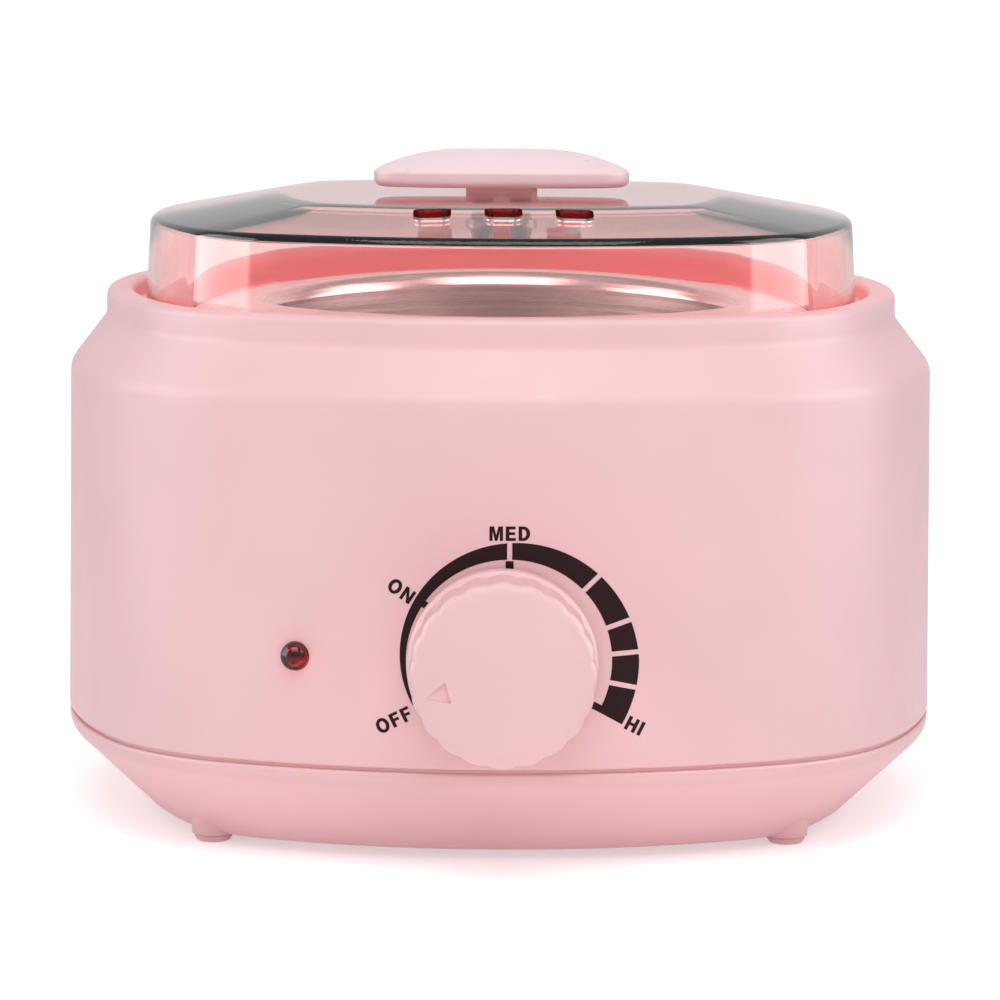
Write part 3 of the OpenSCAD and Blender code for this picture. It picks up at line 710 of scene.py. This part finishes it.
def make_base():
    skin = base_mesh()
    base = make_object("base", skin)
    posts = rods(POST_R, BASE_Z + 0.5, COLUMN_FOOT_Z, COLUMNS, 0.4)
    posts += rods(FOOT_R, BASE_Z - 0.2, BASE_Z + 6.8, FEET, 0.2)
    for post in posts:
        boolean(base, post, "UNION")
    wells = rods(SCREW_WELL_R, BASE_Z - 1, 7.5, COLUMNS)
    wells += rods(FOOT_STEM_R, -1, 6, FEET)
    block_screws = [(x, BLOCK_SCREW_Y) for x in (-BLOCK_SCREW_X, BLOCK_SCREW_X)]
    wells += rods(1.3, BASE_Z + 0.8, BASE_Z + 4.8, block_screws)
    slot = rounded([
        (-SLOT_HALF_X, -SLOT_HALF_Y, 1.45), (SLOT_HALF_X, -SLOT_HALF_Y, 1.45),
        (SLOT_HALF_X, SLOT_HALF_Y, 1.45), (-SLOT_HALF_X, SLOT_HALF_Y, 1.45),
    ])
    for x in range(-36, 37, 12):
        wells.append(loft(flat_rings(slot + (x, SLOT_Y), (BASE_Z - 1, BASE_Z + WALL + 1))))
    boolean(base, joined(wells), "DIFFERENCE")
    boolean(base, joined(rods(SCREW_SHANK_R, 5, COLUMN_FOOT_Z + 2, COLUMNS)), "DIFFERENCE")
    clean(base)
    shade(base, weighted=False)
    keep_normals(base, skin)
    return finish_piece(base, "warmer", MATERIALS["base_plastic"], "base_shell")


def make_feet():
    top = BASE_Z - 0.2
    stem_r = FOOT_STEM_R - 0.02
    profile = rounded([
        (0, 0, 0), (3.4, 0, 0.9), (FOOT_R - 0.1, top, 0.5), (stem_r, top, 0.1),
        (stem_r, 5.8, 0.3), (0, 5.8, 0),
    ], closed=False)
    foot = lathe(profile, steps=64)
    feet = make_object("feet", joined([moved(foot, at(x, y)) for x, y in FEET]))
    shade(feet)
    return finish_piece(feet, "warmer", MATERIALS["pink_rubber"], "rubber_feet")


def make_gland():
    bore_r, neck_r, inner_r, outer_r = 3.4, 5.4, 7.2, 7.6
    wall = -BODY_HALF
    profile = rounded([
        (bore_r, wall + 4.8, 0.3),
        (inner_r, wall + 4.8, 0.4),
        (inner_r, wall + 3, 0.3),
        (neck_r, wall + 3, 0.2),
        (neck_r, wall - 0.9, 0.1),
        (outer_r, wall - 0.9, 0.3),
        (outer_r, wall - 2.95, 0.9),
        (bore_r, wall - 2.95, 0.6),
    ])
    gland = make_object("cord_inlet_gland", moved(lathe(profile, closed=True), at(0, 0, GLAND_Z) @ along_y()))
    shade(gland)
    return finish_piece(gland, "warmer", MATERIALS["black_rubber"], "cord_gland")


# ---- Knob, dial and lamp ----

def lobe_radius(angle):
    """Radius of the lobed grip at an angle: round lobes with narrow valleys between them."""
    pitch = 2 * math.pi / KNOB_LOBES
    local = (angle + pitch / 2) % pitch - pitch / 2
    centre, r = KNOB_R - 7, 6.4
    return centre * np.cos(local) + np.sqrt(np.maximum(r * r - (centre * np.sin(local)) ** 2, 0))


def knob_mesh():
    """The knob about Z: its face towards +Z, a lobed grip and a plain skirt, hollow behind."""
    face = -FRONT_Y + KNOB_OUT
    back = -FRONT_Y + KNOB_GAP
    dome = [(r, face - 1.3 * (r / 17.0) ** 2.4, 0) for r in np.linspace(0.6, 14.4, 14)]
    outside = rounded([
        (KNOB_R - 1.6, back, 0),
        (KNOB_R, back, 0.4),
        (KNOB_R, back + 3.6, 0.7),
        (KNOB_R - 1.25, back + 4.4, 0.3),
        (KNOB_R - 1.5, face - 4.2, 0),
        (KNOB_R - 1.75, face - 1.35, 2.4),
        *dome[::-1],
    ], closed=False)
    hub_r, bore_r = 6.6, SHAFT_R + 0.02
    inside = rounded([
        (hub_r, face - 3.6, 0.4),
        (KNOB_R - 3.2, face - 3.6, 1.0),
        (KNOB_R - 3.2, back, 0.3),
        (KNOB_R - 1.6, back, 0),
    ], closed=False)[:-1]
    hub = rounded([
        (bore_r, back + 3.6, 0.2), (hub_r, back + 3.6, 0.3), (hub_r, face - 3.6, 0),
    ], closed=False)[:-1]
    bore = [(0, face - 4.8), (bore_r, face - 4.8)]
    steps = KNOB_LOBES * 16
    t = np.arange(steps) * 2 * math.pi / steps
    rings = []
    for r, z in [*bore, *hub, *inside, *outside]:
        radius = np.full(steps, r)
        if r > KNOB_R - 3.1 and back + 3.9 < z < face - 1.2:
            fade = min(1.0, (face - 1.2 - z) / 1.5) ** 0.7 * min(1.0, (z - back - 3.9) / 0.6)
            radius = radius + fade * np.maximum(lobe_radius(t) - r, 0)
        rings.append(np.column_stack([radius * np.cos(t), radius * np.sin(t), np.full(steps, z)]))
    rings.append(np.column_stack([0 * t, 0 * t, np.full(steps, face)]))
    verts, faces = loft(rings, closed=True)
    return verts, faces[: -steps]


def make_knob():
    face = -FRONT_Y + KNOB_OUT
    place = at(0, 0, KNOB_Z) @ along_y()
    skin = moved(knob_mesh(), place)
    knob = make_object("knob", skin)
    outline = rounded([(2.8, 0, 0.2), (-1.8, 2.15, 0.2), (-1.8, -2.15, 0.2)], steps=3)
    # The pointer's notch opens outwards
    rings = [flat_rings(outline * (1 + 0.12 * (z + 2) / 3), (z,))[0] for z in (-0.65, 1.4)]
    spot = at(0, 0, face - 0.55) @ Matrix.Rotation(POINTER_ANGLE, 4, "Z") @ at(KNOB_R - 6.2)
    boolean(knob, moved(loft(rings), place @ spot), "DIFFERENCE")
    clean(knob)
    shade(knob, weighted=False)
    keep_normals(knob, skin)
    return finish_piece(knob, "knob", MATERIALS["knob_plastic"], "control_knob")


# Printing on the front wall: the dial's centre, and how far the ink lies out of and into the wall
DIAL_X = 1.35
DIAL_Z = KNOB_Z
INK_OUT = 0.05
INK_IN = 0.1
RING_IN = 21.15
RING_END = math.radians(-29.5)
RING_START = math.radians(205)
RING_GAPS = (90, 44, 19, 4, -12)
# (name, word, x, z, turn in degrees)
LABELS = (
    ("label_off", "OFF", -23.6, -12.45, 27),
    ("label_on", "ON", -22.15, 14.45, -34),
    ("label_medium", "MED", 0, 26.5, 0),
    ("label_high", "HI", 25.95, -13.5, -27),
)


def on_wall(points, out):
    """Places points (x, z) about the dial's centre on the bowed front wall, out by that much."""
    p = np.asarray(points, float)
    x, z = p[:, 0] + DIAL_X, p[:, 1] + DIAL_Z
    flare = SEAM_FLARE * (SHOULDER_Z - z) / (SHOULDER_Z - SEAM_Z - SEAM_GAP)
    r = SIDE_R + flare + out
    return np.column_stack([x, SIDE_OFF - np.sqrt(r * r - x * x), z])


def ink_patch(outline_in, outline_out):
    """A thin closed patch on the wall between two lines of points of the same length."""
    n = len(outline_in)
    flat = np.vstack([outline_in, outline_out])
    verts = np.vstack([on_wall(flat, -INK_IN), on_wall(flat, INK_OUT)])
    faces = []
    top = 2 * n
    for i in range(n - 1):
        a, b, c, d = i, i + 1, n + i + 1, n + i
        faces += [(a, b, c, d), (top + d, top + c, top + b, top + a)]
        faces += [(a, top + a, top + b, b), (c, top + c, top + d, d)]
    faces += [(0, n, top + n, top), (n - 1, top + n - 1, top + 2 * n - 1, 2 * n - 1)]
    return verts, faces


def ring_outer(t):
    """The scale widens steadily from OFF to the right-hand side."""
    return 21.75 + 5.0 * min(1.0, (RING_START - t) / RING_START)


def make_dial():
    gaps = [math.radians(a) for a in RING_GAPS]
    half_gap = 0.52
    bounds = [RING_START, *gaps, RING_END]
    patches = []
    for i in range(len(bounds) - 1):
        first, last = bounds[i], bounds[i + 1]
        steps = max(4, int(abs(first - last) / math.radians(1.5)))
        lines = ([], [])
        for k in range(steps + 1):
            t = first + (last - first) * k / steps
            for line, r in zip(lines, (RING_IN, ring_outer(t))):
                trim = half_gap / r
                a = t - trim if k == 0 and i > 0 else t + trim if k == steps and i < len(gaps) else t
                line.append((r * math.cos(a), r * math.sin(a)))
        patches.append(ink_patch(*[np.array(line) for line in lines]))
    for t, width, low, high in (
        (math.radians(146), 1.5, 19.3, RING_IN + 0.2),
        (math.radians(90), 1.65, 18.9, RING_IN - 0.3),
        (RING_END + 0.035, 1.5, 19.4, RING_IN + 0.2),
    ):
        along = np.array([math.cos(t), math.sin(t)])
        across = np.array([-along[1], along[0]]) * width / 2
        steps = [low + (high - low) * k / 3 for k in range(4)]
        sides = [np.array([along * r + shift for r in steps]) for shift in (across, -across)]
        patches.append(ink_patch(*sides))
    dial = make_object("dial_scale", joined(patches))
    shade(dial, weighted=False)
    return finish_piece(dial, "warmer", MATERIALS["dial_ink"])


LETTER_BAR = 0.25
# Width and outline of each straight block capital, 1 high
STRAIGHT_LETTERS = {
    "I": (LETTER_BAR, [(0, 0), (LETTER_BAR, 0), (LETTER_BAR, 1), (0, 1)]),
    "H": (0.8, [
        (0, 0), (LETTER_BAR, 0), (LETTER_BAR, 0.4), (0.55, 0.4), (0.55, 0), (0.8, 0),
        (0.8, 1), (0.55, 1), (0.55, 0.61), (LETTER_BAR, 0.61), (LETTER_BAR, 1), (0, 1),
    ]),
    "E": (0.7, [
        (0, 0), (0.7, 0), (0.7, 0.2), (LETTER_BAR, 0.2), (LETTER_BAR, 0.41), (0.65, 0.41),
        (0.65, 0.6), (LETTER_BAR, 0.6), (LETTER_BAR, 0.8), (0.68, 0.8), (0.68, 1), (0, 1),
    ]),
    "F": (0.66, [
        (0, 0), (LETTER_BAR, 0), (LETTER_BAR, 0.4), (0.6, 0.4), (0.6, 0.6), (LETTER_BAR, 0.6),
        (LETTER_BAR, 0.8), (0.66, 0.8), (0.66, 1), (0, 1),
    ]),
    "N": (0.8, [
        (0, 0), (0.23, 0), (0.23, 0.6), (0.56, 0), (0.8, 0),
        (0.8, 1), (0.57, 1), (0.57, 0.41), (0.24, 1), (0, 1),
    ]),
    "M": (0.94, [
        (0, 0), (0.22, 0), (0.22, 0.66), (0.38, 0), (0.56, 0), (0.72, 0.66), (0.72, 0),
        (0.94, 0), (0.94, 1), (0.62, 1), (0.47, 0.38), (0.32, 1), (0, 1),
    ]),
}


def ellipse(centre_x, half_x, half_y, angles):
    """Points of an ellipse halfway up a letter."""
    return [(centre_x + half_x * math.cos(t), 0.5 + half_y * math.sin(t)) for t in angles]


def letter(name):
    """(width, solid outlines, rings) of a bold block capital that is 1 high."""
    if name in STRAIGHT_LETTERS:
        width, outline = STRAIGHT_LETTERS[name]
        return width, [outline], []
    if name == "D":
        bow = [-math.pi / 2 + math.pi * k / 16 for k in range(17)]
        outer = [(0, 1), (0, 0)] + ellipse(0.35, 0.45, 0.5, bow)
        inner = [(LETTER_BAR, 0.8), (LETTER_BAR, 0.2)] + ellipse(0.32, 0.22, 0.3, bow)
        return 0.8, [], [(inner, outer)]
    turn = [2 * math.pi * k / 32 for k in range(32)]
    return 0.92, [], [(ellipse(0.46, 0.21, 0.31, turn), ellipse(0.46, 0.46, 0.53, turn))]


def ink_shape(outline):
    """A thin closed patch on the wall with this outline."""
    n = len(outline)
    verts = np.vstack([on_wall(outline, -INK_IN), on_wall(outline, INK_OUT)])
    faces = [tuple(range(n - 1, -1, -1)), tuple(range(n, 2 * n))]
    faces += [(k, (k + 1) % n, n + (k + 1) % n, n + k) for k in range(n)]
    return verts, faces


def ink_ring(inner, outer):
    """A thin closed ring on the wall between two closed lines of the same length."""
    places = ((inner, -INK_IN), (outer, -INK_IN), (outer, INK_OUT), (inner, INK_OUT))
    return loft([on_wall(line, out) for line, out in places], closed=True)


def make_label(name, word, x, z, turn):
    """A printed word on the wall, centred at (x, z) about the dial's centre."""
    height, gap = 2.95, 0.19
    letters = [letter(c) for c in word]
    total = sum(w for w, _, _ in letters) + gap * (len(word) - 1)
    c, s = math.cos(math.radians(turn)), math.sin(math.radians(turn))

    def place(points, start):
        p = (np.array(points) + (start - total / 2, -0.5)) * height
        return p @ np.array([[c, s], [-s, c]]) + (x, z)

    parts, start = [], 0.0
    for width, solids, rings in letters:
        parts += [ink_shape(place(line, start)) for line in solids]
        parts += [ink_ring(place(inner, start), place(outer, start)) for inner, outer in rings]
        start += width + gap
    label = make_object(name, joined(parts))
    shade(label, weighted=False)
    return finish_piece(label, "warmer", MATERIALS["dial_ink"])


def make_lens():
    pad = SIDE_R - 4
    tip = SIDE_R + 0.5
    dome = [(LENS_R * math.cos(t), tip + LENS_R * math.sin(t)) for t in np.linspace(0, math.pi / 2, 16)]
    profile = [
        (0, tip + 1.2), (1.2, tip + 0.9), (1.9, tip - 0.2), (2, pad - 1.2),
        (4.3, pad - 1.2), (4.4, pad - 1.1), (4.4, pad - 0.1), (4.3, pad),
        (LENS_R, pad), *dome,
    ]
    lens = make_object("indicator_lens_dome", moved(lathe(profile, steps=64), lamp_frame() @ along_y()))
    shade(lens)
    return finish_piece(lens, "warmer", MATERIALS["red_lens"], "indicator_lens")


# ---- Pot ----

def make_pot():
    low = DECK_Z - POT_DEPTH
    profile = rounded([
        (0, low, 0),
        (POT_R, low, 8),
        (POT_R, DECK_Z + 0.4, 1.2),
        (POT_FLANGE_R - 3, DECK_Z + 0.4, 0.4),
        (POT_FLANGE_R - 1.6, DECK_Z, 0.3),
        (POT_FLANGE_R, DECK_Z, 0.6),
        (POT_FLANGE_R, DECK_Z + 1.5, 0.6),
        (POT_FLANGE_R - 1.6, DECK_Z + 1.7, 0.8),
        (POT_R, DECK_Z + 2.4, 2.2),
        (POT_R - POT_WALL, DECK_Z + 0.4, 1.2),
        (POT_R - POT_WALL, low + POT_WALL, 7),
        (0, low + POT_WALL, 0),
    ], closed=False)
    pot = make_object("pot", lathe(profile, steps=192))
    shade(pot, 40)
    return finish_piece(pot, "pot", MATERIALS["pot_aluminium"], "wax_pot")


# ---- Lid ----

def make_lid():
    profile = rounded([
        (-LID_FLAT_IN - 3, LID_TOP_Z - LID_WALL, 0),
        (-LID_FLAT_IN, LID_TOP_Z - LID_WALL, 23),
        (-LID_IN - 1.1 - LID_EDGE_WALL, LID_SHOULDER_Z - LID_EDGE_WALL, 0.5),
        (-LID_IN - LID_WALL, DECK_Z, 0.4),
        (-LID_IN, DECK_Z, 0.4),
        (-LID_IN - 1.1, LID_SHOULDER_Z, 2.0),
        (-LID_FLAT_IN, LID_TOP_Z, 25),
        (-LID_FLAT_IN - 3, LID_TOP_Z, 0),
    ], closed=False)
    skin = loft(plan_rings(profile))
    lid = make_object("lid", skin)
    tool_low, tool_high = LID_TOP_Z - 5, LID_TOP_Z + 3
    vent = rounded([
        (-VENT_HALF, -VENT_HALF, 2.4), (VENT_HALF, -VENT_HALF, 2.4),
        (VENT_HALF, VENT_HALF, 1.6), (-VENT_HALF, VENT_HALF, 1.6),
    ])
    vent_tool = loft(flat_rings(vent, (tool_low, tool_high)))
    tools = []
    for turn in (0, math.pi):
        for x in (-VENT_PITCH, 0, VENT_PITCH):
            tools.append(moved(vent_tool, Matrix.Rotation(turn, 4, "Z") @ at(x, VENT_ROW_Y)))
    tools += rods(1.6, tool_low, tool_high, HANDLE_SCREWS)
    boolean(lid, joined(tools), "DIFFERENCE")
    clean(lid)
    shade(lid, weighted=False)
    keep_normals(lid, skin)
    return finish_piece(lid, "lid", MATERIALS["tinted_clear"], "lid_shell")


def oval(half_x, half_y, power, steps=96):
    """A superellipse: an oval at power 2, squarer above that."""
    t = (np.arange(steps) + 0.5) * 2 * math.pi / steps
    c, s = np.cos(t), np.sin(t)
    return np.column_stack([
        half_x * np.sign(c) * np.abs(c) ** (2 / power), half_y * np.sign(s) * np.abs(s) ** (2 / power),
    ])


def make_handle():
    """A domed bar on a short stem."""
    half_x, half_y = HANDLE_LEN / 2, HANDLE_W / 2
    stem_x, stem_y = 7.9, 5.0
    fillet = 1.6
    levels = [
        (stem_x, stem_y, LID_TOP_Z, 8),
        (stem_x, stem_y, HANDLE_Z - 0.5, 8),
        (stem_x + 0.18, stem_y + 0.18, HANDLE_Z - 0.15, 7),
        (stem_x + 0.6, stem_y + 0.6, HANDLE_Z, 6),
    ]
    for t in np.linspace(0, math.pi / 2, 7):
        inset = fillet * (1 - math.sin(t))
        levels.append((half_x - inset, half_y - inset, HANDLE_Z + fillet * (1 - math.cos(t)), 3.2))
    # The dome falls as a parabola to a rounded rim, over a longer way at the ends than at the sides
    fall_x, fall_y, rim_h = 19.5, 10.4, 3.6
    dome = [(s, rim_h + (HANDLE_H - rim_h) * (1 - (1 - s) ** 2), 0) for s in np.linspace(0.14, 1, 20)]
    line = [(q[0] * fall_y, q[1], q[2]) for q in [(0, fillet, 0), (0, rim_h - 0.2, 1.2), *dome]]
    for inset, z in rounded(line, closed=False)[1:]:
        x = half_x - inset * fall_x / fall_y
        levels.append((x, half_y - inset, HANDLE_Z + z, 3.2 - 0.08 * inset))
    rings = [flat_rings(oval(x, y, power), (z,))[0] for x, y, z, power in levels]
    handle = make_object("handle", loft(rings))
    boolean(handle, joined(rods(1.55, LID_TOP_Z - 1, LID_TOP_Z + 5.5, HANDLE_SCREWS)), "DIFFERENCE")
    clean(handle)
    shade(handle, 40, weighted=False)
    return finish_piece(handle, "lid", MATERIALS["handle_plastic"], "lid_handle")


# ---- Stage ----

def make_floor():
    """A plain pale sheet that rises in a soft curve behind the object."""
    half_width, bend_y, bend_r, rise = 6.0, 3.3, 1.5, 4.0
    profile = [(-half_width, 0.0), (bend_y, 0.0)]
    profile += [
        (bend_y + bend_r * math.sin(t), bend_r - bend_r * math.cos(t))
        for t in np.linspace(0.1, math.pi / 2, 14)
    ]
    profile.append((bend_y + bend_r, rise))
    verts, faces = [], []
    for y, z in profile:
        verts += [(-half_width, y, z), (half_width, y, z)]
    for i in range(len(profile) - 1):
        faces.append((2 * i, 2 * i + 1, 2 * i + 3, 2 * i + 2))
    data = bpy.data.meshes.new("floor")
    data.from_pydata(verts, [], faces)
    data.shade_smooth()
    floor = bpy.data.objects.new("floor", data)
    bpy.context.scene.collection.objects.link(floor)
    mat, tree, shader = new_material("pale paper")
    coords = object_coords(tree)
    paper = ramp(tree, noise(tree, coords, 3.0), (0.9, 0.9, 0.9, 1), (0.93, 0.93, 0.93, 1))
    tree.links.new(paper, shader.inputs["Base Color"])
    # The sheet glows more the further it is from the object
    away = node_at(tree, "ShaderNodeVectorMath", operation="LENGTH")
    tree.links.new(coords, away.inputs[0])
    glow = ramp(tree, away.outputs["Value"], (0.4, 0.4, 0.4, 1), (0.62, 0.62, 0.62, 1), 0.12, 0.6)
    # Seen straight it is white, seen through the lid it is pale, and in reflections it is as dim as the room
    path = node_at(tree, "ShaderNodeLightPath")
    through = node_at(tree, "ShaderNodeMix", data_type="RGBA")
    through.inputs["A"].default_value = (0.18, 0.18, 0.18, 1)
    through.inputs["B"].default_value = (0.55, 0.55, 0.55, 1)
    tree.links.new(path.outputs["Is Transmission Ray"], through.inputs["Factor"])
    seen = node_at(tree, "ShaderNodeMix", data_type="RGBA")
    tree.links.new(through.outputs["Result"], seen.inputs["A"])
    tree.links.new(path.outputs["Is Camera Ray"], seen.inputs["Factor"])
    tree.links.new(glow, seen.inputs["B"])
    tree.links.new(seen.outputs["Result"], shader.inputs["Emission Color"])
    shader.inputs["Emission Strength"].default_value = 1.0
    shader.inputs["Roughness"].default_value = 0.9
    shader.inputs["Specular IOR Level"].default_value = 0.1
    data.materials.append(mat)


def area_light(name, place, aim, width, height, power, glossy_only=False):
    lamp = bpy.data.lights.new(name, "AREA")
    lamp.shape = "RECTANGLE"
    lamp.size, lamp.size_y = width, height
    lamp.energy = power
    obj = bpy.data.objects.new(name, lamp)
    bpy.context.scene.collection.objects.link(obj)
    obj.location = place
    obj.rotation_euler = (Vector(aim) - Vector(place)).to_track_quat("-Z", "Y").to_euler()
    obj.visible_diffuse = not glossy_only


def make_lights():
    world = bpy.data.worlds.new("studio")
    bpy.context.scene.world = world
    world.use_nodes = True
    background = world.node_tree.nodes["Background"]
    background.inputs["Color"].default_value = (1, 0.995, 0.99, 1)
    background.inputs["Strength"].default_value = 0.53
    middle = (0, CENTRE_Y * MM, 0.07)
    area_light("key softbox", (0, -0.62, 1.15), middle, 1.0, 0.8, 7.3)
    # Two side panels that add no diffuse light: they show in gloss and through clear plastic
    panel_x, panel_z, side, power = 1.1, 0.56, 1.1, 11.0
    for name, x, y, width in (("left panel", -panel_x, 0.0, 1.05), ("right panel", panel_x, -0.1, 1.5)):
        area_light(name, (x, y, panel_z), (0, y, panel_z), side, width, power * width, glossy_only=True)


def make_camera():
    data = bpy.data.cameras.new("camera")
    data.sensor_width = 36.0
    data.lens = 178.9
    data.clip_start, data.clip_end = 0.05, 50
    camera = bpy.data.objects.new("camera", data)
    bpy.context.scene.collection.objects.link(camera)
    pitch, roll, yaw = 0.126, 0.006, -0.008
    distance, height = 1.091, 0.2052
    tilt = Matrix.Rotation(math.pi / 2 - pitch, 4, "X") @ Matrix.Rotation(roll, 4, "Z")
    turn = Matrix.Rotation(yaw, 4, "Z") @ tilt
    camera.matrix_world = Matrix.Translation((yaw * distance, -distance, height)) @ turn
    bpy.context.scene.camera = camera


make_camera()
make_lights()
make_floor()
dress_cad_nodes()
make_housing()
make_base()
make_feet()
make_gland()
make_knob()
make_dial()
for label in LABELS:
    make_label(*label)
make_lens()
make_pot()
make_lid()
make_handle()

bpy.context.scene.view_settings.view_transform = "Standard"
